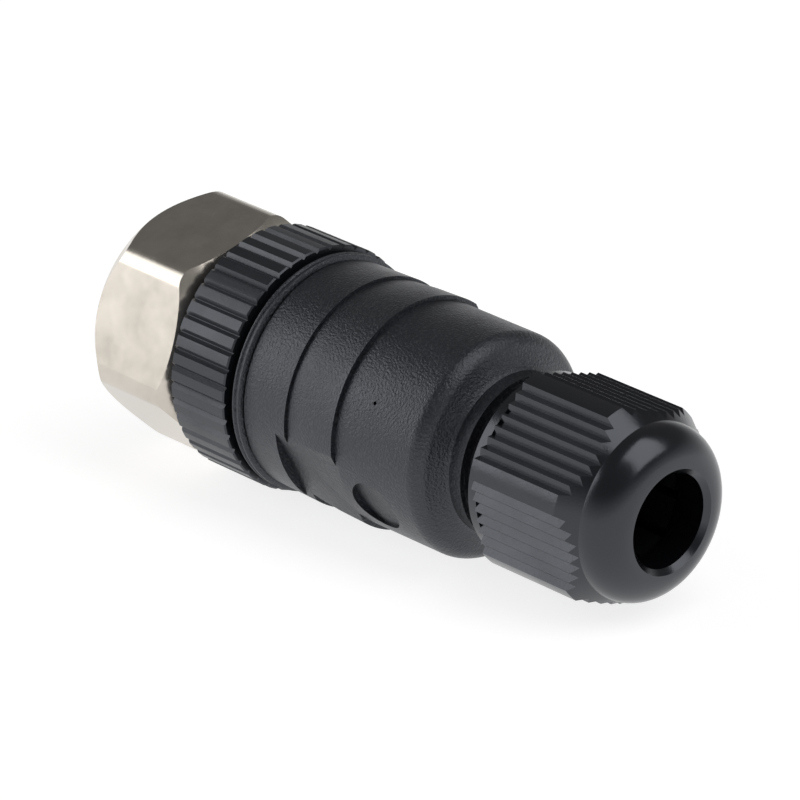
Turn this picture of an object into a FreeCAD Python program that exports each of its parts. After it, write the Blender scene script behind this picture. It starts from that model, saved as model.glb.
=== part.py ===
"""Field-wireable M12 cable connector, female, straight, with screw terminals and a cable gland.

Millimetres. X runs along the connector: the mating end is at x = 0 and the cable leaves towards +X.
Angles about the axis start at +Y and turn towards +Z. The connector lies on its side, +Z up.
"""

import FreeCAD, Part

import math
import os
import types

import Sketcher

SIZES = [
    # coupling nut: nickel-plated brass, hexagonal
    ("hex_inset", 1.0, "hexagon's flats, inside the crests of the knurled ring"),
    ("hex_corner_fillet", 1.4, "rounding of the six corners"),
    ("hex_turn", 15.5, "angle of one corner of the hexagon"),
    ("hex_rim_inset", 0.15, "front rim, inside the flats"),
    ("hex_front_slope", 38.0, "front chamfer, degrees from the axis"),
    ("hex_rear_slope", 64.0, "rear chamfer, degrees from the axis"),
    ("hex_rear_inset", 1.2, "end of the rear chamfer, inside the flats"),
    ("nut_tail_inset", 0.7, "round tail, inside the end of the rear chamfer"),
    ("nut_tail_length", 0.5, "length of the tail behind the hexagon"),
    ("nut_play", 0.15, "end play of the coupling nut"),
    ("nut_rim_wall", 2.75, "length of the inner rim that the retainer holds"),
    ("mate_room", 1.26, "between the spigot and the thread, where the other connector's wall goes in"),
    ("thread_relief_depth", 0.64, "thread relief and lead-in, outside the thread's crests"),
    ("thread_lead", 0.8, "length of the thread's lead-in"),
    ("thread_relief", 1.4, "length of the relief behind the thread"),
    # socket insert: the moulded contact holder
    ("face_recess", 0.5, "insert's face behind the nut's rim"),
    ("face_chamfer", 0.25, "chamfer of the insert's face"),
    ("spigot_d", 8.4, "insert's front spigot"),
    ("key_width", 1.1, "coding groove in the spigot"),
    ("key_depth", 0.7, "depth of the coding groove"),
    ("key_length", 4.2, "length of the coding groove"),
    ("key_turn", 90.0, "angle of the coding groove"),
    ("neck_rise", 0.4, "insert's neck, outside its spigot"),
    ("neck_lead", 0.7, "length of the neck in front of the snap ring"),
    ("retainer_rise", 0.7, "snap ring, outside the neck"),
    ("retainer_bite", 0.65, "snap ring's hole, inside the neck"),
    ("retainer_width", 1.0, "width of the snap ring"),
    ("retainer_opening", 1.6, "opening of the snap ring"),
    ("insert_d", 12.8, "terminal carrier behind the shoulder"),
    ("insert_tail", 1.2, "terminal carrier behind the terminal blocks"),
    ("pole_radius", 2.5, "sockets' distance from the axis"),
    ("pole_turn", 45.0, "angle of the first socket"),
    ("mouth_d", 1.4, "hole in the insert's face over each socket"),
    # contacts with screw terminals
    ("pin_hole_d", 1.04, "bore of a socket, for a pin of 1 mm"),
    ("pin_depth", 6.0, "depth of the socket's bore"),
    ("socket_wall", 0.28, "wall of a socket"),
    ("socket_inset", 0.6, "socket's mouth behind the insert's face"),
    ("terminal_place", 7.75, "front of the terminal blocks behind the shoulder"),
    ("terminal_length", 6.4, "length of a terminal block"),
    ("terminal_width", 2.6, "width of a terminal block"),
    ("terminal_inset", 0.6, "inner face of a terminal block, inside the sockets' circle"),
    ("terminal_height", 3.3, "height of a terminal block"),
    ("wire_hole_d", 1.7, "wire hole in a terminal block"),
    ("wire_height", 1.2, "wire hole's axis over the inner face"),
    ("wire_wall", 1.2, "solid front of a terminal block, before the wire's hole"),
    ("screw_d", 1.6, "terminal screw, M1.6"),
    ("screw_length", 2.2, "length of a terminal screw"),
    ("screw_slot_width", 0.35, "slot of a terminal screw"),
    ("screw_slot_depth", 0.5, "depth of the slot"),
    ("screw_place", 2.8, "screw's axis behind the front of the terminal block"),
    ("screw_room", 0.25, "room round a screw in the hole over it"),
    ("guard_width", 1.0, "wire guard under each screw"),
    ("guard_length", 3.0, "length of a wire guard"),
    ("guard_thick", 0.2, "thickness of a wire guard"),
    ("guard_lift", 0.4, "wire guard above the wire hole's axis"),
    # knurled carrier ring
    ("ring_start", 10.15, "front face of the knurled ring"),
    ("ring_rise", 0.325, "crests of the knurled ring, outside the sleeve's bead"),
    ("ring_width", 6.0, "width of the knurled ring"),
    ("ring_wall", 1.5, "front wall of the ring, against the insert's shoulder"),
    ("ring_edge", 0.12, "chamfer of the ring's edges"),
    ("flute_count", 44, "flutes round the ring"),
    ("flute_depth", 0.5, "depth of a flute"),
    ("flute_width", 0.56, "width of a flute at the crests"),
    ("flute_floor", 0.06, "width of a flute's floor"),
    ("flute_turn", 142.0, "angle of one flute"),
    ("carrier_wall", 1.55, "wall of the threaded spigot that carries the sleeve"),
    ("carrier_reach", 6.45, "length of that spigot"),
    ("seal_groove_depth", 0.55, "groove of the sleeve's sealing ring, inside the spigot's thread"),
    ("seal_groove_width", 1.5, "width of that groove"),
    ("seal_section", 1.2, "section of the sleeve's sealing ring"),
    # housing sleeve, its rises measured from the third segment
    ("sleeve_gap", 0.55, "between the knurled ring and the sleeve"),
    ("sleeve_wall", 1.47, "wall of the third segment, over the terminal chamber"),
    ("bead_rise", 0.605, "bead at the sleeve's front edge"),
    ("bead_width", 0.9, "width of the bead"),
    ("bead_edge", 0.22, "chamfer of the bead"),
    ("bead_groove_rise", 0.03, "floor of the fine groove behind the bead"),
    ("bead_groove_width", 0.14, "width of that groove"),
    ("first_front_rise", 0.2, "first segment at its front"),
    ("first_rear_rise", 0.31, "first segment at its rear"),
    ("first_length", 5.64, "from the front edge to the first step line"),
    ("second_front_rise", 0.06, "second segment at its front"),
    ("second_swell_rise", 0.26, "second segment at its swell"),
    ("second_rear_rise", 0.35, "second segment at its rear"),
    ("swell_length", 2.36, "from the first step line to the end of the swell"),
    ("second_length", 5.21, "from the first step line to the second"),
    ("third_length", 7.75, "from the second step line to the rear shoulder"),
    ("shoulder_radius", 1.0, "rounding of the shoulder"),
    ("shoulder_length", 1.7, "from the start of the rounding to the collar"),
    ("collar_blend", 0.3, "blend between the shoulder's face and the collar"),
    ("collar_rise", 0.5, "collar, outside the gland thread"),
    ("collar_length", 1.5, "length of the collar"),
    ("flat_front", 1.04, "front wall of the spanner flats, before the first step line"),
    ("flat_rear", 0.35, "rear wall of the spanner flats, behind the second step line"),
    ("flat_inset", 0.42, "spanner flats, inside the third segment"),
    ("flat_turn", 30.0, "angle of one spanner flat"),
    ("badge_place", 3.45, "centre of the round recess behind the second step line"),
    ("badge_d", 4.6, "diameter of the round recess"),
    ("badge_inset", 0.52, "floor of the round recess, inside the third segment"),
    ("badge_turn", 210.0, "angle of the round recess"),
    ("mouth_bore_depth", 1.6, "depth of the sleeve's front counterbore"),
    ("thread_room", 0.6, "sleeve's thread behind the end of the carrier's"),
    ("chamber_inset", 0.4, "terminal chamber, inside the carrier's thread"),
    ("chamber_rear", 2.3, "rear end of the chamber, before the shoulder"),
    ("funnel_length", 3.0, "from the chamber to the cable passage"),
    ("passage_inset", 0.85, "cable passage, inside the seal's bore"),
    ("seat_place", 0.6, "shoulder that the gland seal rests on, behind the collar"),
    # cable gland
    ("gland_wall", 0.85, "wall of the gland spigot, over the seal"),
    ("gland_relief_depth", 0.35, "thread relief behind the collar"),
    ("gland_relief_width", 0.9, "width of that relief"),
    ("gland_mouth", 1.5, "gland spigot behind the seal"),
    ("gland_end_chamfer", 0.35, "chamfer of the spigot's end"),
    ("seal_hole_d", 7.7, "hole in the rubber seal"),
    ("seal_wall", 1.25, "wall of the rubber seal"),
    ("seal_length", 4.0, "length of the rubber seal"),
    ("seal_chamfer", 0.5, "lead-in of the rubber seal"),
    ("cage_gap", 0.75, "between the seal and the clamp cage"),
    ("cage_ring_length", 1.6, "cage's ring, in the spigot's mouth"),
    ("cage_flange_inset", 0.3, "cage's flange, inside the gland thread"),
    ("cage_flange_width", 0.9, "width of the flange"),
    ("cage_root_inset", 0.3, "fingers at the flange, inside it"),
    ("cage_taper", 0.75, "fingers' tips, inside their roots"),
    ("finger_length", 4.35, "length of the fingers"),
    ("finger_count", 8, "fingers of the cage"),
    ("finger_slot", 0.7, "slot between two fingers"),
    # pressing nut: a hexagon of grooved faces with its corners turned off
    ("press_gap", 1.4, "between the collar and the pressing nut"),
    ("press_wall", 2.19, "from the nut's thread to its turned corners"),
    ("press_turn", 45.0, "angle of one corner"),
    ("press_corner_inset", 0.03, "flat on a corner, inside the turned corner"),
    ("press_collar_inset", 0.9, "round front collar, inside the corners"),
    ("press_collar_length", 1.1, "length of the front collar"),
    ("press_collar_edge", 0.3, "chamfer of the front collar"),
    ("press_face_inset", 0.75, "grooved faces, inside the corners"),
    ("press_groove_depth", 0.42, "depth of a groove in a face"),
    ("press_length", 8.7, "length of the corners"),
    ("press_slope", 1.65, "length of the rear slope, from the corners to the dome"),
    ("dome_inset", 1.2, "dome at its root, inside the corners"),
    ("dome_radius", 3.0, "rounding of the dome"),
    ("dome_length", 2.77, "length of the dome"),
    ("hole_inset", 0.1, "cable hole, inside the hole of the seal"),
    ("mouth_rise", 0.42, "mouth of the cable hole, outside it"),
    ("mouth_depth", 0.4, "depth of the mouth's chamfer"),
    ("tip_room", 0.5, "clamping cone behind the fingers' tips"),
    ("cone_lead", 0.25, "clamping cone's start behind the cage's flange"),
    ("cone_room", 0.3, "end of the clamping cone, outside the fingers' tips"),
    # clearances
    ("turn_clearance", 0.06, "radial play of what turns on something"),
    ("seat_clearance", 0.05, "play of what is fixed in something"),
]

POLES = 4
HEX_SIDES = 6
PRESS_FACES = 6
PRESS_GROOVES = 7
PAST = 1.0  # how far a cut passes the surface it starts from
SKETCH_ORIGIN = (-1, 1)  # geometry and point numbers of a sketch's origin


class Size:
    """A size: its value now, and the expression that ties it to the sheet."""

    def __init__(self, text, value):
        self.text = text
        self.value = value

    def __add__(self, other):
        other = as_size(other)
        return Size(f"({self.text} + {other.text})", self.value + other.value)

    def __sub__(self, other):
        other = as_size(other)
        return Size(f"({self.text} - {other.text})", self.value - other.value)

    def __mul__(self, other):
        other = as_size(other)
        return Size(f"({self.text} * {other.text})", self.value * other.value)

    def __truediv__(self, other):
        other = as_size(other)
        return Size(f"({self.text} / {other.text})", self.value / other.value)

    def __neg__(self):
        return Size(f"(0 - {self.text})", -self.value)

    def __rsub__(self, other):
        return as_size(other) - self

    def __rmul__(self, other):
        return as_size(other) * self


def as_size(value):
    return value if isinstance(value, Size) else Size(str(value), float(value))


def cosine(angle):
    """Cosine of an angle in degrees, as a size."""
    angle = as_size(angle)
    return Size(f"cos({angle.text} * 1 deg)", math.cos(math.radians(angle.value)))


def sine(angle):
    angle = as_size(angle)
    return Size(f"sin({angle.text} * 1 deg)", math.sin(math.radians(angle.value)))


def tangent(angle):
    return sine(angle) / cosine(angle)


def root(size):
    return Size(f"sqrt({size.text})", math.sqrt(size.value))


doc = FreeCAD.newDocument("m12_connector")
sheet = doc.addObject("Spreadsheet::Sheet", "dims")
for row, (alias, value, meaning) in enumerate(SIZES, start=1):
    sheet.set(f"A{row}", meaning)
    sheet.set(f"B{row}", str(value))
    sheet.setAlias(f"B{row}", alias)
doc.recompute()
d = types.SimpleNamespace(**{alias: Size(f"dims.{alias}", value) for alias, value, _ in SIZES})

kept = []


def bind(thing, name, size):
    thing.setExpression(name, as_size(size).text)


def origin_feature(body, role):
    return next(item for item in body.Origin.OriginFeatures if item.Role == role)


def new_body(label):
    body = doc.addObject("PartDesign::Body", label)
    body.Label = label
    kept.append(body)
    return body


def new_sketch(body, name, plane):
    sketch = body.newObject("Sketcher::SketchObject", name)
    sketch.AttachmentSupport = (origin_feature(body, plane), [""])
    sketch.MapMode = "FlatFace"
    return sketch


def arc_between(first, last, radius):
    """Arc from first to last. A positive radius bulges to the left of the way, a negative one to the right."""
    way = last - first
    middle = (first + last) * 0.5
    left = FreeCAD.Vector(-way.y, way.x, 0).normalize()
    rise = math.sqrt(max(radius * radius - way.Length ** 2 / 4, 0))
    centre = middle - left * math.copysign(rise, radius)
    start = math.atan2(first.y - centre.y, first.x - centre.x)
    end = math.atan2(last.y - centre.y, last.x - centre.x)
    circle = Part.Circle(centre, FreeCAD.Vector(0, 0, 1), abs(radius))
    if radius > 0:
        return Part.ArcOfCircle(circle, end, start), (2, 1)
    return Part.ArcOfCircle(circle, start, end), (1, 2)


def draw_outline(sketch, points):
    """Close an outline through (across, up) points. A third entry is the radius of the arc to the next point."""
    places = [FreeCAD.Vector(as_size(p[0]).value, as_size(p[1]).value, 0) for p in points]
    ends = []
    for index, point in enumerate(points):
        first = places[index]
        last = places[(index + 1) % len(points)]
        if len(point) == 3:
            radius = as_size(point[2])
            curve, sides = arc_between(first, last, radius.value)
            edge = sketch.addGeometry(curve, False)
            held = sketch.addConstraint(Sketcher.Constraint("Radius", edge, abs(radius.value)))
            sketch.renameConstraint(held, f"radius{index}")
            bind(sketch, f"Constraints.radius{index}", radius if radius.value > 0 else -radius)
        else:
            edge = sketch.addGeometry(Part.LineSegment(first, last), False)
            sides = (1, 2)
        ends.append((edge, sides))
    for index, (edge, sides) in enumerate(ends):
        following, following_sides = ends[(index + 1) % len(ends)]
        sketch.addConstraint(Sketcher.Constraint("Coincident", edge, sides[1], following, following_sides[0]))
        for kind, letter, value in (("DistanceX", "x", points[index][0]), ("DistanceY", "y", points[index][1])):
            value = as_size(value)
            held = sketch.addConstraint(Sketcher.Constraint(kind, *SKETCH_ORIGIN, edge, sides[0], value.value))
            sketch.renameConstraint(held, f"{letter}{index}")
            bind(sketch, f"Constraints.{letter}{index}", value)


def turned(body, name, points, cut=False):
    """Turn an outline of (x, radius) points about the X axis, as solid or as a cut."""
    sketch = new_sketch(body, name + "_outline", "XY_Plane")
    draw_outline(sketch, points)
    kind = "PartDesign::Groove" if cut else "PartDesign::Revolution"
    feature = body.newObject(kind, name)
    feature.Profile = sketch
    feature.ReferenceAxis = (sketch, ["H_Axis"])
    feature.Angle = 360
    sketch.Visibility = False
    doc.recompute()
    return feature


def cross_sketch(body, name, start, turn):
    """Sketch across the axis at x = start, with its first axis turned by an angle."""
    sketch = new_sketch(body, name, "YZ_Plane")
    sketch.AttachmentOffset = FreeCAD.Placement(
        FreeCAD.Vector(0, 0, as_size(start).value), FreeCAD.Rotation(FreeCAD.Vector(0, 0, 1), as_size(turn).value)
    )
    bind(sketch, "AttachmentOffset.Base.z", start)
    bind(sketch, "AttachmentOffset.Rotation.Angle", turn)
    return sketch


def side_sketch(body, name, turn, height):
    """Sketch at a height over the axis, first axis along +X, its normal pointing out at an angle about X."""
    sketch = new_sketch(body, name, "XY_Plane")
    tilt = as_size(turn) - 90
    across = height * cosine(turn)
    up = height * sine(turn)
    sketch.AttachmentOffset = FreeCAD.Placement(
        FreeCAD.Vector(0, across.value, up.value), FreeCAD.Rotation(FreeCAD.Vector(1, 0, 0), tilt.value)
    )
    bind(sketch, "AttachmentOffset.Base.y", across)
    bind(sketch, "AttachmentOffset.Base.z", up)
    bind(sketch, "AttachmentOffset.Rotation.Angle", tilt)
    return sketch


def draw_circle(sketch, across, up, diameter):
    across, up, diameter = as_size(across), as_size(up), as_size(diameter)
    circle = Part.Circle(FreeCAD.Vector(across.value, up.value, 0), FreeCAD.Vector(0, 0, 1), diameter.value / 2)
    ring = sketch.addGeometry(circle, False)
    for kind, name, value in (("DistanceX", "x", across), ("DistanceY", "y", up)):
        held = sketch.addConstraint(Sketcher.Constraint(kind, *SKETCH_ORIGIN, ring, 3, value.value))
        sketch.renameConstraint(held, name)
        bind(sketch, "Constraints." + name, value)
    held = sketch.addConstraint(Sketcher.Constraint("Diameter", ring, diameter.value))
    sketch.renameConstraint(held, "diameter")
    bind(sketch, "Constraints.diameter", diameter)


def pocket(body, name, sketch, length):
    """Cut a sketch out of the body along the sketch's normal, and make sure that something went."""
    before = body.Tip.Shape.Volume
    feature = body.newObject("PartDesign::Pocket", name)
    feature.Profile = sketch
    feature.Reversed = True
    bind(feature, "Length", length)
    sketch.Visibility = False
    doc.recompute()
    if feature.Shape.Volume > before - 1e-6:
        raise RuntimeError(f"{body.Label}: {name} cuts nothing")
    return feature


def around(body, name, features, count):
    """Repeat features evenly about the X axis."""
    pattern = body.newObject("PartDesign::PolarPattern", name)
    pattern.Originals = features
    pattern.Axis = (origin_feature(body, "X_Axis"), [""])
    pattern.Angle = 360
    pattern.Occurrences = round(as_size(count).value)
    bind(pattern, "Occurrences", count)
    body.Tip = pattern
    doc.recompute()
    return pattern


def padded(body, name, sketch, length):
    feature = body.newObject("PartDesign::Pad", name)
    feature.Profile = sketch
    bind(feature, "Length", length)
    sketch.Visibility = False
    doc.recompute()
    return feature


def box_points(near, far, half_width):
    return [(near, -half_width), (far, -half_width), (far, half_width), (near, half_width)]


def half(size):
    return size / 2


# places along the axis
nut_rear = d.ring_start - d.nut_play
nut_rim_start = nut_rear - d.nut_rim_wall
hex_end = nut_rear - d.nut_tail_length
retainer_end = nut_rim_start - d.nut_play
retainer_start = retainer_end - d.retainer_width
neck_start = retainer_start - d.neck_lead
socket_mouth = d.face_recess + d.socket_inset
insert_shoulder = d.ring_start + d.ring_wall
terminal_start = insert_shoulder + d.terminal_place
terminal_end = terminal_start + d.terminal_length
insert_end = terminal_end + d.insert_tail
screw_place = terminal_start + d.screw_place
ring_end = d.ring_start + d.ring_width
carrier_end = ring_end + d.carrier_reach
sleeve_start = ring_end + d.sleeve_gap
bead_end = sleeve_start + d.bead_width
bead_groove_end = bead_end + d.bead_groove_width
first_step = sleeve_start + d.first_length
swell_end = first_step + d.swell_length
second_step = first_step + d.second_length
shoulder_start = second_step + d.third_length
shoulder_end = shoulder_start + d.shoulder_length
collar_end = shoulder_end + d.collar_length
gland_seat = collar_end + d.seat_place
seal_end = gland_seat + d.seal_length
gland_end = seal_end + d.gland_mouth
cage_start = seal_end + d.cage_gap
cage_flange_start = cage_start + d.cage_ring_length
cage_flange_end = cage_flange_start + d.cage_flange_width
cage_tip = cage_flange_end + d.finger_length
press_front = collar_end + d.press_gap
press_shoulder = press_front + d.press_collar_length
press_step = press_shoulder + d.press_length
dome_start = press_step + d.press_slope
dome_end = dome_start + d.dome_length

# distances from the axis, from the inside out
spigot_r = half(d.spigot_d)
neck_r = spigot_r + d.neck_rise
retainer_r = neck_r + d.retainer_rise
retainer_hole_r = neck_r - d.retainer_bite
thread_r = spigot_r + d.mate_room
thread_relief_r = thread_r + d.thread_relief_depth
insert_r = half(d.insert_d)
socket_r = half(d.pin_hole_d) + d.socket_wall
terminal_low = d.pole_radius - d.terminal_inset
terminal_high = terminal_low + d.terminal_height
wire_radius = terminal_low + d.wire_height
guard_low = wire_radius + d.guard_lift
guard_high = guard_low + d.guard_thick
screw_r = half(d.screw_d)
screw_tip = guard_high + half(d.seat_clearance)
screw_top = screw_tip + d.screw_length
carrier_bore_r = insert_r + d.seat_clearance
carrier_thread_r = carrier_bore_r + d.carrier_wall
seal_groove_r = carrier_thread_r - d.seal_groove_depth
mouth_bore_r = seal_groove_r + d.seal_section + 3 * d.seat_clearance
chamber_r = carrier_thread_r - d.chamber_inset
third_r = chamber_r + d.sleeve_wall
bead_r = third_r + d.bead_rise
ring_r = bead_r + d.ring_rise
hex_r = ring_r - d.hex_inset
hex_rear_r = hex_r - d.hex_rear_inset
nut_tail_r = hex_rear_r - d.nut_tail_inset
seal_hole_r = half(d.seal_hole_d)
seal_r = seal_hole_r + d.seal_wall
gland_bore_r = seal_r + d.seat_clearance
gland_thread_r = gland_bore_r + d.gland_wall
passage_r = gland_bore_r - d.passage_inset
cage_hole_r = seal_hole_r + d.seat_clearance
cage_flange_r = gland_thread_r - d.cage_flange_inset
cage_root_r = cage_flange_r - d.cage_root_inset
cage_tip_r = cage_root_r - d.cage_taper
press_bore_r = gland_thread_r + d.turn_clearance
press_r = press_bore_r + d.press_wall
press_hole_r = seal_hole_r - d.hole_inset


def coupling_nut():
    """Hexagonal nut, turned and milled from brass bar. Its inner rim turns on the insert's neck."""
    body = new_body("coupling_nut")
    apex = hex_r / cosine(180 / HEX_SIDES)
    tangent_length = d.hex_corner_fillet * tangent(180 / HEX_SIDES)
    outline = []
    for side in range(HEX_SIDES):
        angle = 360 / HEX_SIDES * side
        for lean, bulge in ((-120, -d.hex_corner_fillet), (120, None)):
            across = apex * cosine(angle) + tangent_length * cosine(angle + lean)
            up = apex * sine(angle) + tangent_length * sine(angle + lean)
            outline.append((across, up) if bulge is None else (across, up, bulge))
    sketch = cross_sketch(body, "hexagon", 0, d.hex_turn)
    draw_outline(sketch, outline)
    padded(body, "prism", sketch, hex_end)
    turned(body, "tail", [
        (hex_end - PAST, thread_relief_r), (nut_rear, thread_relief_r),
        (nut_rear, nut_tail_r), (hex_end - PAST, nut_tail_r),
    ])
    rim = hex_r - d.hex_rim_inset
    rise = tangent(d.hex_front_slope)
    reach = 3 * PAST
    turned(body, "front_chamfer", [
        (-PAST, rim - rise * PAST), (reach, rim + rise * reach), (-PAST, rim + rise * reach),
    ], cut=True)
    fall = tangent(d.hex_rear_slope)
    turned(body, "rear_chamfer", [
        (hex_end, hex_rear_r), (hex_end + PAST, hex_rear_r),
        (hex_end + PAST, hex_rear_r + fall * reach), (hex_end - reach, hex_rear_r + fall * reach),
    ], cut=True)
    relief_start = nut_rim_start - d.thread_relief
    bore = neck_r + d.turn_clearance
    turned(body, "bore", [
        (-PAST, 0), (-PAST, thread_relief_r), (0, thread_relief_r),
        (d.thread_lead, thread_r), (relief_start, thread_r),
        (relief_start, thread_relief_r), (nut_rim_start, thread_relief_r),
        (nut_rim_start, bore), (nut_rear + PAST, bore), (nut_rear + PAST, 0),
    ], cut=True)


def nut_retainer():
    """Open snap ring in the insert's neck. It keeps the coupling nut from coming off forwards."""
    body = new_body("nut_retainer")
    turned(body, "ring", [
        (retainer_start, retainer_hole_r), (retainer_start, retainer_r),
        (retainer_end, retainer_r), (retainer_end, retainer_hole_r),
    ])
    opening = cross_sketch(body, "opening_outline", retainer_start - PAST, d.key_turn)
    draw_outline(opening, box_points(0, retainer_r + PAST, half(d.retainer_opening)))
    pocket(body, "opening", opening, d.retainer_width + 2 * PAST)


def socket_insert():
    """Moulded front of the contact holder: spigot with coding groove, and the neck for the nut."""
    body = new_body("socket_insert")
    seat = retainer_hole_r - d.seat_clearance
    turned(body, "blank", [
        (d.face_recess, 0), (d.face_recess, spigot_r - d.face_chamfer),
        (d.face_recess + d.face_chamfer, spigot_r),
        (neck_start, spigot_r), (neck_start, neck_r),
        (retainer_start - d.seat_clearance, neck_r), (retainer_start - d.seat_clearance, seat),
        (retainer_end + d.seat_clearance, seat), (retainer_end + d.seat_clearance, neck_r),
        (insert_shoulder, neck_r), (insert_shoulder, 0),
    ])
    key = cross_sketch(body, "key_outline", d.face_recess - PAST, d.key_turn)
    draw_outline(key, box_points(spigot_r - d.key_depth, spigot_r + PAST, half(d.key_width)))
    pocket(body, "key", key, d.key_length + PAST)
    mouth = cross_sketch(body, "mouth_outline", d.face_recess - PAST, d.pole_turn)
    draw_circle(mouth, d.pole_radius, 0, d.mouth_d)
    mouth_cut = pocket(body, "mouth", mouth, d.socket_inset + 2 * PAST)
    bore = cross_sketch(body, "bore_outline", socket_mouth - d.seat_clearance, d.pole_turn)
    draw_circle(bore, d.pole_radius, 0, 2 * (socket_r + d.seat_clearance))
    bore_cut = pocket(body, "bore", bore, insert_shoulder)
    around(body, "all_poles", [mouth_cut, bore_cut], POLES)


def terminal_carrier():
    """Moulded rear of the contact holder, against the shoulder, with four terminal pockets."""
    body = new_body("terminal_carrier")
    turned(body, "blank", [
        (insert_shoulder, 0), (insert_shoulder, insert_r), (insert_end, insert_r), (insert_end, 0),
    ])
    bore = cross_sketch(body, "bore_outline", insert_shoulder - PAST, d.pole_turn)
    draw_circle(bore, d.pole_radius, 0, 2 * (socket_r + d.seat_clearance))
    bore_cut = pocket(body, "bore", bore, d.terminal_place + 2 * PAST)
    room = cross_sketch(body, "room_outline", terminal_start - d.seat_clearance, d.pole_turn)
    draw_outline(room, box_points(
        terminal_low - d.seat_clearance, terminal_high + d.seat_clearance, half(d.terminal_width) + d.seat_clearance
    ))
    room_cut = pocket(body, "room", room, insert_end)
    access = side_sketch(body, "access_outline", d.pole_turn, terminal_high)
    draw_circle(access, screw_place, 0, 2 * (screw_r + d.screw_room))
    access_cut = pocket(body, "access", access, insert_r)
    around(body, "all_poles", [bore_cut, room_cut, access_cut], POLES)


def contact(number, turn):
    """Brass socket with its terminal block, in one piece."""
    body = new_body(f"contact_{number}")
    tube = cross_sketch(body, "socket_outline", socket_mouth, turn)
    draw_circle(tube, d.pole_radius, 0, 2 * socket_r)
    padded(body, "socket", tube, terminal_start - socket_mouth + PAST)
    block = cross_sketch(body, "block_outline", terminal_start, turn)
    draw_outline(block, box_points(terminal_low, terminal_high, half(d.terminal_width)))
    padded(body, "block", block, d.terminal_length)
    pin_hole = cross_sketch(body, "pin_hole_outline", socket_mouth - PAST, turn)
    draw_circle(pin_hole, d.pole_radius, 0, d.pin_hole_d)
    pocket(body, "pin_hole", pin_hole, d.pin_depth + PAST)
    wire_hole = cross_sketch(body, "wire_hole_outline", terminal_start + d.wire_wall, turn)
    draw_circle(wire_hole, wire_radius, 0, d.wire_hole_d)
    pocket(body, "wire_hole", wire_hole, d.terminal_length - d.wire_wall + PAST)
    screw_hole = side_sketch(body, "screw_hole_outline", turn, wire_radius)
    draw_circle(screw_hole, screw_place, 0, 2 * (screw_r + d.turn_clearance))
    pocket(body, "screw_hole", screw_hole, terminal_high)


def wire_guard(number, turn):
    """Small leaf between the screw and the wire."""
    body = new_body(f"wire_guard_{number}")
    leaf = cross_sketch(body, "leaf_outline", screw_place - half(d.guard_length), turn)
    draw_outline(leaf, box_points(guard_low, guard_high, half(d.guard_width)))
    padded(body, "leaf", leaf, d.guard_length)


def terminal_screw(number, turn):
    """Slotted grub screw that presses the guard on the wire."""
    body = new_body(f"terminal_screw_{number}")
    shank = side_sketch(body, "shank_outline", turn, screw_tip)
    draw_circle(shank, screw_place, 0, d.screw_d)
    padded(body, "shank", shank, d.screw_length)
    slot = side_sketch(body, "slot_outline", turn, screw_top - d.screw_slot_depth)
    draw_outline(slot, box_points(screw_place - d.screw_d, screw_place + d.screw_d, half(d.screw_slot_width)))
    pocket(body, "slot", slot, d.screw_slot_depth + PAST)


def carrier_ring():
    """Knurled ring with the threaded spigot that carries the sleeve. Its flutes leave flat lands between them."""
    body = new_body("carrier_ring")
    hole = neck_r + d.seat_clearance
    groove_end = ring_end + d.seal_groove_width
    turned(body, "blank", [
        (d.ring_start, hole), (d.ring_start, ring_r - d.ring_edge), (d.ring_start + d.ring_edge, ring_r),
        (ring_end - d.ring_edge, ring_r), (ring_end, ring_r - d.ring_edge), (ring_end, seal_groove_r),
        (groove_end, seal_groove_r), (groove_end, carrier_thread_r),
        (carrier_end - d.ring_edge, carrier_thread_r), (carrier_end, carrier_thread_r - d.ring_edge),
        (carrier_end, carrier_bore_r), (insert_shoulder - d.seat_clearance, carrier_bore_r),
        (insert_shoulder - d.seat_clearance, hole),
    ])
    flute = cross_sketch(body, "flute_outline", d.ring_start - PAST, d.flute_turn)
    half_pitch = as_size(180) / d.flute_count
    land_middle = ring_r * cosine(half_pitch)
    half_land = ring_r * sine(half_pitch)
    draw_outline(flute, [
        (ring_r - d.flute_depth, -half(d.flute_floor)), (ring_r, -half(d.flute_width)),
        (land_middle, -half_land), (ring_r + PAST, -half_land), (ring_r + PAST, half_land), (land_middle, half_land),
        (ring_r, half(d.flute_width)), (ring_r - d.flute_depth, half(d.flute_floor)),
    ])
    flute_cut = pocket(body, "flute", flute, d.ring_width + PAST + d.sleeve_gap)
    around(body, "flutes", [flute_cut], d.flute_count)


def sleeve_seal():
    """Rubber ring between the knurled ring and the sleeve."""
    body = new_body("sleeve_seal")
    section = new_sketch(body, "section", "XY_Plane")
    draw_circle(
        section, ring_end + half(d.seal_groove_width), seal_groove_r + half(d.seal_section) + d.seat_clearance,
        d.seal_section,
    )
    ring = body.newObject("PartDesign::Revolution", "ring")
    ring.Profile = section
    ring.ReferenceAxis = (section, ["H_Axis"])
    ring.Angle = 360


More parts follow.
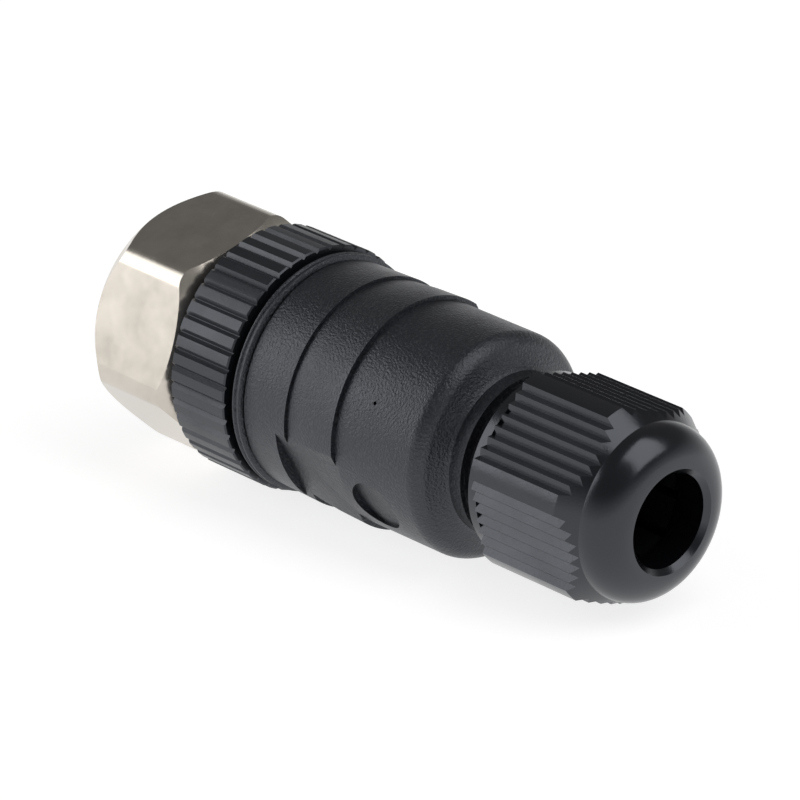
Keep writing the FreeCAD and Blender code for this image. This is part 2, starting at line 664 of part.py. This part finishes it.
def housing_sleeve():
    """Sleeve over the terminals, with two spanner flats, a bare round recess and the gland spigot."""
    body = new_body("housing_sleeve")
    thread_bore = carrier_thread_r + d.turn_clearance
    thread_room_end = carrier_end + d.thread_room
    mouth_end = sleeve_start + d.mouth_bore_depth
    chamber_end = shoulder_start - d.chamber_rear
    passage_start = chamber_end + d.funnel_length
    collar_r = gland_thread_r + d.collar_rise
    relief_r = gland_thread_r - d.gland_relief_depth
    relief_end = collar_end + d.gland_relief_width
    turned(body, "blank", [
        (sleeve_start, mouth_bore_r), (sleeve_start, bead_r - d.bead_edge), (sleeve_start + d.bead_edge, bead_r),
        (bead_end - d.bead_edge, bead_r), (bead_end, bead_r - d.bead_edge), (bead_end, third_r + d.bead_groove_rise),
        (bead_groove_end, third_r + d.bead_groove_rise), (bead_groove_end, third_r + d.first_front_rise),
        (first_step, third_r + d.first_rear_rise), (first_step, third_r + d.second_front_rise),
        (swell_end, third_r + d.second_swell_rise), (second_step, third_r + d.second_rear_rise),
        (second_step, third_r), (shoulder_start, third_r, d.shoulder_radius),
        (shoulder_start + d.shoulder_radius, third_r - d.shoulder_radius),
        (shoulder_end, collar_r + d.collar_blend), (shoulder_end + d.collar_blend, collar_r),
        (collar_end, collar_r), (collar_end, relief_r), (relief_end, relief_r), (relief_end, gland_thread_r),
        (gland_end - d.gland_end_chamfer, gland_thread_r), (gland_end, gland_thread_r - d.gland_end_chamfer),
        (gland_end, gland_bore_r), (gland_seat, gland_bore_r), (gland_seat, passage_r), (passage_start, passage_r),
        (chamber_end, chamber_r), (thread_room_end, chamber_r), (thread_room_end, thread_bore),
        (mouth_end, thread_bore), (mouth_end, mouth_bore_r),
    ])
    badge = side_sketch(body, "badge_outline", d.badge_turn, third_r - d.badge_inset)
    draw_circle(badge, second_step + d.badge_place, 0, d.badge_d)
    pocket(body, "badge", badge, third_r)
    flat = side_sketch(body, "flat_outline", d.flat_turn, third_r - d.flat_inset)
    draw_outline(flat, box_points(first_step - d.flat_front, second_step + d.flat_rear, third_r))
    flat_cut = pocket(body, "flat", flat, third_r)
    around(body, "flats", [flat_cut], 2)


def gland_seal():
    """Rubber sleeve that the cage squeezes on the cable."""
    body = new_body("gland_seal")
    mouth = seal_hole_r + d.seal_chamfer
    turned(body, "ring", [
        (gland_seat, mouth), (gland_seat, seal_r), (seal_end, seal_r),
        (seal_end, mouth), (seal_end - d.seal_chamfer, seal_hole_r), (gland_seat + d.seal_chamfer, seal_hole_r),
    ])


def clamp_cage():
    """Ring with sprung fingers. The pressing nut's cone closes them on the cable."""
    body = new_body("clamp_cage")
    ring = gland_bore_r - d.seat_clearance
    turned(body, "blank", [
        (cage_start, cage_hole_r), (cage_start, ring), (cage_flange_start, ring),
        (cage_flange_start, cage_flange_r), (cage_flange_end, cage_flange_r),
        (cage_flange_end, cage_root_r), (cage_tip, cage_tip_r), (cage_tip, cage_hole_r),
    ])
    slot = cross_sketch(body, "slot_outline", cage_flange_end, 0)
    draw_outline(slot, box_points(cage_hole_r - PAST, cage_flange_r + PAST, half(d.finger_slot)))
    slot_cut = pocket(body, "slot", slot, cage_tip)
    around(body, "slots", [slot_cut], d.finger_count)


def pressing_nut():
    """Gland nut: six grooved faces between narrow corners, a round collar in front and a smooth dome."""
    body = new_body("pressing_nut")
    lead = d.gland_end_chamfer
    collar_r = press_r - d.press_collar_inset
    cone_start = cage_flange_end + d.cone_lead
    cone_end = cage_tip + d.tip_room
    turned(body, "blank", [
        (press_front, press_bore_r + lead), (press_front, collar_r - d.press_collar_edge),
        (press_front + d.press_collar_edge, collar_r), (press_shoulder, collar_r), (press_shoulder, press_r),
        (press_step, press_r), (dome_start, press_r - d.dome_inset, d.dome_radius),
        (dome_end, press_hole_r + d.mouth_rise), (dome_end - d.mouth_depth, press_hole_r),
        (cone_end, press_hole_r), (cone_end, cage_tip_r + d.cone_room),
        (cone_start, press_bore_r), (press_front + lead, press_bore_r),
    ])
    length = d.press_length + d.press_slope
    face = press_r - d.press_face_inset
    half_turn = 180 / PRESS_FACES
    corner = cross_sketch(body, "corner_outline", press_shoulder, d.press_turn)
    draw_outline(corner, box_points(press_r - d.press_corner_inset, press_r + PAST, press_r * sine(half_turn)))
    corner_cut = pocket(body, "corner", corner, length)
    # half the width of a face, where it runs out on the turned corners
    reach = root(press_r * press_r - face * face)
    pitch = 2 * reach / PRESS_GROOVES
    outline = []
    for groove in range(PRESS_GROOVES):
        outline.append((face, pitch * groove - reach))
        outline.append((face - d.press_groove_depth, pitch * (groove + 0.5) - reach))
    outline += [(face, reach), (press_r + PAST, reach), (press_r + PAST, -reach)]
    comb = cross_sketch(body, "comb_outline", press_shoulder, d.press_turn + half_turn)
    draw_outline(comb, outline)
    comb_cut = pocket(body, "comb", comb, length)
    around(body, "sectors", [corner_cut, comb_cut], PRESS_FACES)


coupling_nut()
nut_retainer()
socket_insert()
terminal_carrier()
for pole in range(POLES):
    angle = d.pole_turn + 360 / POLES * pole
    contact(pole + 1, angle)
    wire_guard(pole + 1, angle)
    terminal_screw(pole + 1, angle)
carrier_ring()
sleeve_seal()
housing_sleeve()
gland_seal()
clamp_cage()
pressing_nut()

doc.recompute()
for thing in doc.Objects:
    if "Invalid" in thing.State or "Error" in thing.State:
        raise RuntimeError(f"{thing.Name} could not be built")
os.makedirs("parts", exist_ok=True)
for body in kept:
    if body.Shape.isNull() or not body.Shape.isValid() or len(body.Shape.Solids) != 1:
        raise RuntimeError(f"{body.Label} is not one sound solid")
    body.Shape.exportStep(f"parts/{body.Label}.step")
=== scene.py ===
"""M12 cable connector, female and straight, lying on a pale table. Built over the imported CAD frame."""

import math

import bmesh
import bpy
from mathutils import Matrix, Vector


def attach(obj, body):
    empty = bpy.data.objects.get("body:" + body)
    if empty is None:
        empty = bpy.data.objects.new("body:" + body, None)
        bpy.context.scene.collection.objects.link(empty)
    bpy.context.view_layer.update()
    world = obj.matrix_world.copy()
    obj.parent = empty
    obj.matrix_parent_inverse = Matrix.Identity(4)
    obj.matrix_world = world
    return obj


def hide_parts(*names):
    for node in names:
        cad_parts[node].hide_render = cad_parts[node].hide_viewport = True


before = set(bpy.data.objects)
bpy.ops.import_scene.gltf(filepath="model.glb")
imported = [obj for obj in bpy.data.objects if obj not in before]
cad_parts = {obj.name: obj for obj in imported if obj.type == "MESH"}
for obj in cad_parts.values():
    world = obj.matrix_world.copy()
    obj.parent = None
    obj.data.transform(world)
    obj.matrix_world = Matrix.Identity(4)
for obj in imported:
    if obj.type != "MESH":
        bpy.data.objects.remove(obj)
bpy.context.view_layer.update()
scene = bpy.context.scene
scene.view_settings.view_transform = "Standard"
MM = 0.001

# Camera. A long lens looks along the connector from its cable end, from the side and a little from above.
# The connector rests on its knurled ring and on the smaller gland nut,
# so its mating end stands a little high.
table_up = Vector((-0.0523, 0.0, 0.9986)).normalized()
look = Vector((-0.6518, 0.6514, -0.3883)).normalized()
camera_right = look.cross(table_up).normalized()
camera_up = camera_right.cross(look).normalized()
camera = bpy.data.objects.new("camera", bpy.data.cameras.new("camera"))
camera.data.lens = 264.0
camera.data.sensor_width = 36.0
camera.data.clip_start = 0.01
eye = Vector((318.5, -293.0, 175.0)) * MM
camera.matrix_world = Matrix.Translation(eye) @ Matrix((camera_right, camera_up, -look)).transposed().to_4x4()
scene.collection.objects.link(camera)
scene.camera = camera


# Table. A smooth white sheet, matt, that passes under the ring and the gland nut.
# To the eye and in reflections it also glows, so it stays white far from the lamps.
def linear(colour):
    """The linear values of an sRGB hex colour."""
    parts = [int(colour[i:i + 2], 16) / 255 for i in (1, 3, 5)]
    return [c / 12.92 if c <= 0.04045 else ((c + 0.055) / 1.055) ** 2.4 for c in parts] + [1.0]


def add_node(tree, kind, settings=(), links=()):
    """Adds a node, sets its properties and sockets, and links other nodes' outputs to it."""
    node = tree.nodes.new(kind)
    for key, value in dict(settings).items():
        if isinstance(key, str) and hasattr(node, key):
            setattr(node, key, value)
        else:
            node.inputs[key].default_value = value
    for socket, output in dict(links).items():
        tree.links.new(output, node.inputs[socket])
    return node


def new_material(name):
    material = bpy.data.materials.new(name)
    material.use_nodes = True
    material.node_tree.nodes.clear()
    return material, material.node_tree


def link_piece(name, mesh, material):
    """Makes an object of a bmesh, with one material."""
    data = bpy.data.meshes.new(name)
    mesh.to_mesh(data)
    mesh.free()
    data.materials.append(material)
    piece = bpy.data.objects.new(name, data)
    scene.collection.objects.link(piece)
    return piece


TABLE_SLOPE = 0.05
TABLE_UNDER_RING = -10.02 * MM
RING_FOOT = 16.1 * MM
table_material, tree = new_material("white_sheet")
matt = add_node(tree, "ShaderNodeBsdfDiffuse", {"Color": linear("#f2f2f2")})
shaded = add_node(tree, "ShaderNodeBsdfDiffuse", {"Color": linear("#a8a8a8")})
seen = add_node(tree, "ShaderNodeEmission", {"Color": linear("#ffffff"), "Strength": 0.80})
both = add_node(tree, "ShaderNodeAddShader", links={0: shaded.outputs[0], 1: seen.outputs[0]})
path = add_node(tree, "ShaderNodeLightPath")
shown = add_node(tree, "ShaderNodeMath", {"operation": "MAXIMUM"}, {
    0: path.outputs["Is Camera Ray"], 1: path.outputs["Is Glossy Ray"]})
choose = add_node(tree, "ShaderNodeMixShader", links={
    "Fac": shown.outputs[0], 1: matt.outputs[0], 2: both.outputs[0]})
add_node(tree, "ShaderNodeOutputMaterial", links={"Surface": choose.outputs[0]})
mesh = bmesh.new()
bmesh.ops.create_grid(mesh, x_segments=2, y_segments=2, size=3.0)
bmesh.ops.rotate(mesh, verts=mesh.verts, matrix=Matrix.Rotation(-math.atan(TABLE_SLOPE), 3, "Y"))
bmesh.ops.translate(mesh, verts=mesh.verts, vec=(0, 0, TABLE_UNDER_RING - TABLE_SLOPE * RING_FOOT))
table = link_piece("table", mesh, table_material)

# Studio. A white room whose upper part is dim, with one soft box low on the left and one overhead.
world = bpy.data.worlds.new("studio")
scene.world = world
world.use_nodes = True
tree = world.node_tree
tree.nodes.clear()
way = add_node(tree, "ShaderNodeTexCoord")
height = add_node(tree, "ShaderNodeSeparateXYZ", links={0: way.outputs["Generated"]})
walls = add_node(tree, "ShaderNodeValToRGB", links={"Fac": height.outputs["Z"]})
walls.color_ramp.elements[0].position = 0.02
walls.color_ramp.elements[0].color = (0.85, 0.85, 0.85, 1.0)
walls.color_ramp.elements[1].position = 0.40
walls.color_ramp.elements[1].color = (0.17, 0.17, 0.17, 1.0)
path = add_node(tree, "ShaderNodeLightPath")
room = add_node(tree, "ShaderNodeBackground", {"Strength": 1.0}, {"Color": walls.outputs["Color"]})
white = add_node(tree, "ShaderNodeBackground", {"Color": linear("#ffffff"), "Strength": 1.0})
choose = add_node(tree, "ShaderNodeMixShader", links={
    "Fac": path.outputs["Is Camera Ray"], 1: room.outputs[0], 2: white.outputs[0]})
add_node(tree, "ShaderNodeOutputWorld", links={"Surface": choose.outputs[0]})


MIDDLE = Vector((27 * MM, 0, 0))


def add_lamp(name, azimuth, elevation, distance, size, radiance):
    """A soft box that faces the connector. Its power follows from its size and from how bright it looks."""
    light = bpy.data.lights.new(name, "AREA")
    light.shape = "RECTANGLE"
    light.size, light.size_y = size
    light.energy = radiance * math.pi * size[0] * size[1]
    lamp = bpy.data.objects.new(name, light)
    turn, rise = math.radians(azimuth), math.radians(elevation)
    way = Vector((math.cos(rise) * math.cos(turn), math.cos(rise) * math.sin(turn), math.sin(rise)))
    lamp.location = MIDDLE + way * distance
    lamp.rotation_euler = way.to_track_quat("Z", "Y").to_euler()
    scene.collection.objects.link(lamp)


add_lamp("left_lamp", -144, 21, 0.7, (0.45, 0.50), 2.0)
add_lamp("top_lamp", 20, 60, 0.7, (0.50, 0.80), 1.9)


# Coupling nut. A brass hexagon, turned and milled, then nickel plated. It turns freely on the insert's neck,
# and its M12 thread, pitch 1 mm, pulls the mating connector in.
def lathe(profile, steps=256, rounds=()):
    """Turns a closed (x, radius) profile in mm about X. Each round is (corner, radius, segments)."""
    mesh = bmesh.new()
    corners = [mesh.verts.new((x * MM, 0, radius * MM)) for x, radius in profile]
    for first, last in zip(corners, corners[1:] + corners[:1]):
        mesh.edges.new((first, last))
    for corner, radius, segments in rounds:
        bmesh.ops.bevel(mesh, geom=[corners[corner]], offset=radius * MM, offset_type="OFFSET",
                        affect="VERTICES", segments=segments, profile=0.5, material=-1)
    bmesh.ops.spin(mesh, geom=mesh.verts[:] + mesh.edges[:], axis=(1, 0, 0), cent=(0, 0, 0), angle=math.tau,
                   steps=steps, use_merge=True)
    bmesh.ops.remove_doubles(mesh, verts=mesh.verts, dist=1e-7)
    bmesh.ops.recalc_face_normals(mesh, faces=mesh.faces)
    return mesh


THREAD_PITCH = 1.0
THREAD_STEPS = 60


def screw_groove(start, end, mouth, bottom):
    """A tool that cuts a thread: a V groove wound about X, from its mouth radius to its bottom radius."""
    mesh = bmesh.new()
    half, turns = 0.44 * THREAD_PITCH, round((end - start) / THREAD_PITCH)
    section = [(start - half, mouth), (start - 0.05, bottom), (start + 0.05, bottom), (start + half, mouth)]
    face = mesh.faces.new([mesh.verts.new((x * MM, 0, radius * MM)) for x, radius in section])
    bmesh.ops.spin(mesh, geom=[face], axis=(1, 0, 0), cent=(0, 0, 0),
                   dvec=(THREAD_PITCH / THREAD_STEPS * MM, 0, 0), angle=math.tau * turns,
                   steps=THREAD_STEPS * turns, use_merge=False)
    bmesh.ops.recalc_face_normals(mesh, faces=mesh.faces)
    return mesh


def carved(mesh, other, operation="DIFFERENCE"):
    """The mesh after a boolean with another one."""
    blank = link_piece("blank", mesh, None)
    tool = link_piece("tool", other, None)
    modifier = blank.modifiers.new("carve", "BOOLEAN")
    modifier.object = tool
    modifier.operation = operation
    modifier.solver = "EXACT"
    result = bmesh.new()
    result.from_object(blank, bpy.context.evaluated_depsgraph_get())
    for used in (blank, tool):
        data = used.data
        bpy.data.objects.remove(used)
        bpy.data.meshes.remove(data)
    bmesh.ops.dissolve_degenerate(result, dist=1e-7, edges=result.edges)
    return result


SHARP = math.radians(32)


def finished(name, mesh, material, edge):
    """A smooth-shaded piece whose sharp edges are broken by a small bevel."""
    piece = link_piece(name, mesh, material)
    piece.data.polygons.foreach_set("use_smooth", [True] * len(piece.data.polygons))
    piece.data.set_sharp_from_angle(angle=SHARP)
    bevel = piece.modifiers.new("broken_edges", "BEVEL")
    bevel.width = edge * MM
    bevel.segments = 2
    bevel.limit_method = "ANGLE"
    bevel.angle_limit = SHARP
    bevel.harden_normals = True
    return piece


CLOUD_MM = 3.0
TOOL_MARK_MM = 0.08


def plated_metal(name, dull, bright, roughness):
    """Bare or plated metal: slow blotches of colour and shine, and the fine marks of its tool about X."""
    material, tree = new_material(name)
    place = add_node(tree, "ShaderNodeTexCoord")
    blotch = add_node(tree, "ShaderNodeTexNoise", {
        "Scale": 1000.0 / CLOUD_MM, "Detail": 5.0, "Roughness": 0.6}, {"Vector": place.outputs["Object"]})
    tone = add_node(tree, "ShaderNodeValToRGB", links={"Fac": blotch.outputs["Fac"]})
    tone.color_ramp.elements[0].position = 0.30
    tone.color_ramp.elements[0].color = linear(dull)
    tone.color_ramp.elements[1].position = 0.70
    tone.color_ramp.elements[1].color = linear(bright)
    satin = add_node(tree, "ShaderNodeMapRange", {
        "From Min": 0.3, "From Max": 0.7, "To Min": roughness - 0.04, "To Max": roughness + 0.04},
        {"Value": blotch.outputs["Fac"]})
    along = add_node(tree, "ShaderNodeMapping", {"Scale": (1.0, 0.08, 0.08)},
                     {"Vector": place.outputs["Object"]})
    marks = add_node(tree, "ShaderNodeTexNoise", {"Scale": 1000.0 / TOOL_MARK_MM, "Detail": 2.0},
                     {"Vector": along.outputs["Vector"]})
    bump = add_node(tree, "ShaderNodeBump", {"Strength": 0.15, "Distance": 0.01 * MM},
                    {"Height": marks.outputs["Fac"]})
    surface = add_node(tree, "ShaderNodeBsdfPrincipled", {"Metallic": 1.0}, {
        "Base Color": tone.outputs["Color"], "Roughness": satin.outputs["Result"],
        "Normal": bump.outputs["Normal"]})
    add_node(tree, "ShaderNodeOutputMaterial", links={"Surface": surface.outputs[0]})
    return material


def dress(material, *nodes):
    """Gives CAD nodes that stay in view their material."""
    for node in nodes:
        for place in bpy.data.objects[node].material_slots:
            place.material = material


# Nickel over brass has a faint warm tone and a satin shine, cloudy where the bath left it uneven.
nickel = plated_metal("nickel_plated_brass", "#c3bcb2", "#d3ccc2", 0.22)
HEX_FLATS = 18.0
HEX_TURN = 15.5
HEX_ROUND = 1.04
mesh = bmesh.new()
bmesh.ops.create_circle(mesh, cap_ends=True, segments=6, radius=HEX_FLATS / 2 / math.cos(math.pi / 6) * MM)
bmesh.ops.rotate(mesh, verts=mesh.verts, matrix=Matrix.Rotation(math.pi / 2, 3, "Y"))
bmesh.ops.rotate(mesh, verts=mesh.verts, matrix=Matrix.Rotation(math.radians(HEX_TURN), 3, "X"))
bmesh.ops.translate(mesh, verts=mesh.verts, vec=(-1 * MM, 0, 0))
grown = bmesh.ops.extrude_face_region(mesh, geom=mesh.faces[:])
verts = [v for v in grown["geom"] if isinstance(v, bmesh.types.BMVert)]
bmesh.ops.translate(mesh, verts=verts, vec=(12 * MM, 0, 0))
bmesh.ops.recalc_face_normals(mesh, faces=mesh.faces)
long_edges = [e for e in mesh.edges if abs(e.verts[0].co.x - e.verts[1].co.x) > 5 * MM]
bmesh.ops.bevel(mesh, geom=long_edges, offset=HEX_ROUND * MM, offset_type="OFFSET", affect="EDGES",
                segments=8, profile=0.5, material=-1)
turned_blank = lathe([
    (0.0, 6.1), (0.0, 8.85), (3.0, 11.19), (7.3, 11.19), (8.157, 10.17), (8.635, 9.6), (9.025, 9.0),
    (9.305, 8.4), (9.5, 7.8), (9.5, 7.1), (10.0, 7.1), (10.0, 4.66),
    (7.25, 4.66), (7.25, 6.1), (5.85, 6.1), (5.85, 5.46), (1.15, 5.46), (0.5, 6.1)], steps=360)
turned_blank = carved(turned_blank, screw_groove(start=0.0, end=7.0, mouth=5.3, bottom=6.0))
nut = finished("coupling_hexagon", carved(turned_blank, mesh, "INTERSECT"), nickel, 0.12)
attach(nut, "coupling")
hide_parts("coupling_nut")

# Retainer. A slotted ring of spring bronze, snapped behind the insert's shoulder,
# that keeps the coupling nut on. Spring bronze is yellower than the nut and a little duller.
dress(plated_metal("spring_bronze", "#a9824c", "#c79c62", 0.30), "nut_retainer")


# Insert and terminal carrier. Black glass-filled polyamide, moulded, with a satin black skin.
def black_plastic(name, colour, roughness, grain_mm, relief_mm, painted_glint_lift=0.0):
    """Moulded black plastic: grain of a given width and height, slow clouds in its shine, rub marks, painted
    glints.
    """
    material, tree = new_material(name)
    place = add_node(tree, "ShaderNodeTexCoord")
    grain = add_node(tree, "ShaderNodeTexNoise", {
        "Scale": 1000.0 / grain_mm, "Detail": 2.0, "Roughness": 0.55}, {"Vector": place.outputs["Object"]})
    cloud = add_node(tree, "ShaderNodeTexNoise", {"Scale": 260.0, "Detail": 4.0, "Roughness": 0.6},
                     {"Vector": place.outputs["Object"]})
    shine = add_node(tree, "ShaderNodeMapRange", {
        "From Min": 0.3, "From Max": 0.7, "To Min": roughness - 0.05, "To Max": roughness + 0.05},
        {"Value": cloud.outputs["Fac"]})
    stretch = add_node(tree, "ShaderNodeMapping", {"Scale": (1.0, 0.12, 0.3), "Rotation": (0.4, 0.5, 0.9)},
                       {"Vector": place.outputs["Object"]})
    rub = add_node(tree, "ShaderNodeTexNoise", {"Scale": 900.0, "Detail": 1.0},
                   {"Vector": stretch.outputs["Vector"]})
    scratch = add_node(tree, "ShaderNodeValToRGB", links={"Fac": rub.outputs["Fac"]})
    stops = scratch.color_ramp.elements
    stops.new(0.717)
    for element, (position, value) in zip(stops, ((0.700, 0.0), (0.708, 1.0), (0.717, 0.0))):
        element.position = position
        element.color = (value, value, value, 1.0)
    skin = add_node(tree, "ShaderNodeBump", {"Strength": 1.0, "Distance": relief_mm * MM},
                    {"Height": grain.outputs["Fac"]})
    bump = add_node(tree, "ShaderNodeBump", {"Strength": 0.5, "Distance": 0.004 * MM},
                    {"Height": scratch.outputs["Color"], "Normal": skin.outputs["Normal"]})
    # Painted glints: the high specks of the grain get a lighter base colour, standing in for highlights on
    # them.
    painted_glint_colour = add_node(tree, "ShaderNodeValToRGB", links={"Fac": grain.outputs["Fac"]})
    painted_glint_colour.color_ramp.elements[0].position = 0.50
    painted_glint_colour.color_ramp.elements[0].color = linear(colour)
    painted_glint_colour.color_ramp.elements[1].position = 0.80
    painted_glint_colour.color_ramp.elements[1].color = [c + painted_glint_lift for c in linear(colour)]
    surface = add_node(tree, "ShaderNodeBsdfPrincipled", {"IOR": 1.66, "Specular Tint": linear("#eef3ff")}, {
        "Base Color": painted_glint_colour.outputs["Color"], "Roughness": shine.outputs["Result"],
        "Normal": bump.outputs["Normal"]})
    add_node(tree, "ShaderNodeOutputMaterial", links={"Surface": surface.outputs[0]})
    return material


dress(black_plastic("insert_polyamide", "#131416", 0.42, 0.15, 0.006), "socket_insert", "terminal_carrier")

# Contacts, wire guards and terminal screws. Turned brass sockets with a thin gold plating, springy bronze
# guards that keep the screw from biting the strands, and nickel-plated steel screws. Gold gives a warm
# yellow shine, tin a dull grey one and nickel a brighter, neutral one.
NUMBERS = (1, 2, 3, 4)
dress(plated_metal("gold_plated_brass", "#c79a4a", "#e2bd6d", 0.20), *[f"contact_{n}" for n in NUMBERS])
dress(plated_metal("tinned_bronze", "#a8a196", "#c4beb2", 0.32), *[f"wire_guard_{n}" for n in NUMBERS])
dress(plated_metal("nickel_plated_steel", "#a9a9a6", "#c9c9c5", 0.28),
      *[f"terminal_screw_{n}" for n in NUMBERS])


# Knurled ring. Black glass-filled polyamide, moulded in one with the thread that the sleeve screws on.
# Its skin is smooth from the mould, with a soft shine on the lands.
def repeated(mesh, count, turn=0.0):
    """Copies a mesh evenly about X."""
    bmesh.ops.rotate(mesh, verts=mesh.verts, matrix=Matrix.Rotation(math.radians(turn), 3, "X"))
    first = mesh.verts[:] + mesh.edges[:] + mesh.faces[:]
    for step in range(1, count):
        copy = bmesh.ops.duplicate(mesh, geom=first)
        verts = [v for v in copy["geom"] if isinstance(v, bmesh.types.BMVert)]
        bmesh.ops.rotate(mesh, verts=verts, matrix=Matrix.Rotation(math.tau * step / count, 3, "X"))
    return mesh


def prism(outline, start, end):
    """Extrudes an outline of (y, z) points in mm from x = start to x = end."""
    mesh = bmesh.new()
    face = mesh.faces.new([mesh.verts.new((start * MM, y * MM, z * MM)) for y, z in outline])
    grown = bmesh.ops.extrude_face_region(mesh, geom=[face])
    verts = [v for v in grown["geom"] if isinstance(v, bmesh.types.BMVert)]
    bmesh.ops.translate(mesh, verts=verts, vec=((end - start) * MM, 0, 0))
    bmesh.ops.recalc_face_normals(mesh, faces=mesh.faces)
    return mesh


ring_plastic = black_plastic("black_polyamide_skin", "#101215", 0.34, 0.16, 0.008)
ring_blank = lathe([
    (10.15, 4.65), (10.15, 9.88), (10.27, 10.0), (16.03, 10.0), (16.15, 9.88), (16.15, 7.45), (17.65, 7.45),
    (17.65, 8.0), (22.35, 8.0), (22.6, 7.75), (22.6, 6.45), (11.6, 6.45), (11.6, 4.65)], steps=352)
RING_RADIUS, FLUTE_FLOOR, FLUTE_HALF_WIDTH, FLOOR_HALF_WIDTH = 10.0, 9.7, 0.32, 0.02
FLUTES, FIRST_FLUTE = 44, 142.0
outline = []
for flute in range(FLUTES):
    turn = Matrix.Rotation(math.radians(FIRST_FLUTE) + math.tau * flute / FLUTES, 2)
    outline += [turn @ Vector(corner) for corner in (
        (RING_RADIUS, -FLUTE_HALF_WIDTH), (FLUTE_FLOOR, -FLOOR_HALF_WIDTH),
        (FLUTE_FLOOR, FLOOR_HALF_WIDTH), (RING_RADIUS, FLUTE_HALF_WIDTH))]
ring_mesh = carved(ring_blank, prism(outline, 9.0, 24.0), "INTERSECT")
ring_mesh = carved(ring_mesh, screw_groove(start=17.15, end=24.15, mouth=8.12, bottom=7.45))
ring = finished("knurled_ring", ring_mesh, ring_plastic, 0.035)
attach(ring, "carrier")
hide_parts("carrier_ring")

# Sleeve seal. A soft black rubber ring, moulded, in the groove between the knurled ring and the sleeve.
# Nitrile rubber is matt, with hardly a highlight.
rubber = black_plastic("black_nitrile_rubber", "#161616", 0.62, 0.10, 0.008)
dress(rubber, "sleeve_seal")

# Sleeve. Black polyamide with a spark-eroded grain, in three slightly flared segments, with two spanner flats
# and a bare round recess. Its rear end carries the collar and the gland's threaded spigot. The grain
# breaks its highlights into fine specks, and painted glints light up the grain's high specks in its colour.
sleeve_plastic = black_plastic("black_polyamide_grained", "#101216", 0.38, 0.20, 0.070, 0.03)
outer_skin = [
    (17.74, 9.27), (22.34, 9.38), (22.34, 9.13), (24.7, 9.33), (27.55, 9.42), (27.55, 9.07)]
sleeve_blank = lathe([
    (16.7, 8.8), (16.7, 9.5), (16.8, 9.64), (16.92, 9.64), (17.02, 9.5), (17.22, 9.5), (17.32, 9.64),
    (17.44, 9.64), (17.56, 9.45), (17.6, 9.1), (17.74, 9.1)] + outer_skin + [
    (36.3, 9.07), (37.0, 6.8), (37.3, 6.5), (38.5, 6.5), (38.5, 5.65), (39.4, 5.65), (39.4, 6.0),
    (44.25, 6.0), (44.6, 5.65), (44.6, 5.15), (39.1, 5.15), (39.1, 4.3), (36.0, 4.3), (33.0, 7.6),
    (23.2, 7.6), (23.2, 8.06), (18.3, 8.06), (18.3, 8.8)],
    rounds=[(17, 1.0, 8)])
SPANNER_FLAT, SPANNER_TURN = 8.65, 30.0
flat = prism([(SPANNER_FLAT, -6.0), (12.0, -6.0), (12.0, 6.0), (SPANNER_FLAT, 6.0)], 21.3, 27.9)
sleeve_mesh = carved(sleeve_blank, repeated(flat, 2, SPANNER_TURN))


def drilled(mesh, x, angle, radius, floor):
    """The mesh with a round blind hole bored straight towards the axis, down to a floor."""
    bit = bmesh.new()
    bmesh.ops.create_cone(bit, cap_ends=True, segments=64, radius1=radius * MM, radius2=radius * MM,
                          depth=2 * MM)
    bmesh.ops.translate(bit, verts=bit.verts, vec=(x * MM, 0, (floor + 1.0) * MM))
    bmesh.ops.rotate(bit, verts=bit.verts, matrix=Matrix.Rotation(math.radians(angle - 90), 3, "X"))
    return carved(mesh, bit)


# The bare recess and a pinhole, then the thread over the ring's spigot and the gland's own thread.
sleeve_mesh = drilled(sleeve_mesh, x=31.0, angle=210.0, radius=2.3, floor=8.55)
sleeve_mesh = drilled(sleeve_mesh, x=30.8, angle=153.5, radius=0.16, floor=8.75)
sleeve_mesh = carved(sleeve_mesh, screw_groove(start=17.8, end=24.8, mouth=7.9, bottom=8.45))
sleeve_mesh = carved(sleeve_mesh, screw_groove(start=37.9, end=46.9, mouth=6.15, bottom=5.5))
sleeve = finished("grained_sleeve", sleeve_mesh, sleeve_plastic, 0.045)
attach(sleeve, "sleeve")
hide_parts("housing_sleeve")

# Gland seal and clamp cage. A rubber bush that grips the cable, squeezed by the slotted fingers
# of a black cage.
dress(rubber, "gland_seal")
dress(black_plastic("cage_polyamide", "#0c0c0d", 0.45, 0.15, 0.006), "clamp_cage")

# Pressing nut. Black polyamide, moulded as a hexagon with seven V grooves in each face and rounded corners,
# and behind them a smooth slope and a polished dome round the cable's way in.
press_plastic = black_plastic("black_polyamide_gland", "#0a0b0e", 0.20, 0.16, 0.005)
PRESS_CREST, PRESS_FLOOR, PRESS_PITCH, PRESS_GROOVES, PRESS_TURN = 7.5, 7.08, 0.982, 7, 75.0
CREST_HALF_WIDTH = 0.01
press_blank = lathe([
    (39.9, 6.41), (39.9, 7.05), (40.2, 7.35), (41.0, 7.35), (41.0, 8.22), (49.7, 8.22), (49.72, 8.22),
    (51.35, 7.05), (54.12, 7.05), (54.12, 4.17), (53.72, 3.75), (51.2, 3.75), (51.2, 4.95), (46.6, 6.06),
    (40.25, 6.06)], steps=360, rounds=[(8, 2.88, 14)])
half = PRESS_PITCH * PRESS_GROOVES / 2
outline = [(10.0, -half - 0.4), (PRESS_CREST + 0.3, -half - 0.2)]
for groove in range(PRESS_GROOVES):
    is_last = groove == PRESS_GROOVES - 1
    outline += [
        (PRESS_CREST, -half + PRESS_PITCH * groove + (CREST_HALF_WIDTH if groove else 0)),
        (PRESS_FLOOR, -half + PRESS_PITCH * (groove + 0.5)),
        (PRESS_CREST, -half + PRESS_PITCH * (groove + 1) - (0 if is_last else CREST_HALF_WIDTH))]
outline += [(PRESS_CREST + 0.3, half + 0.2), (10.0, half + 0.4)]
comb = repeated(prism(outline, 41.0, 52.0), 6, PRESS_TURN)
press = finished("gland_pressing_nut", carved(press_blank, comb), press_plastic, 0.04)
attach(press, "pressing")
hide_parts("pressing_nut")
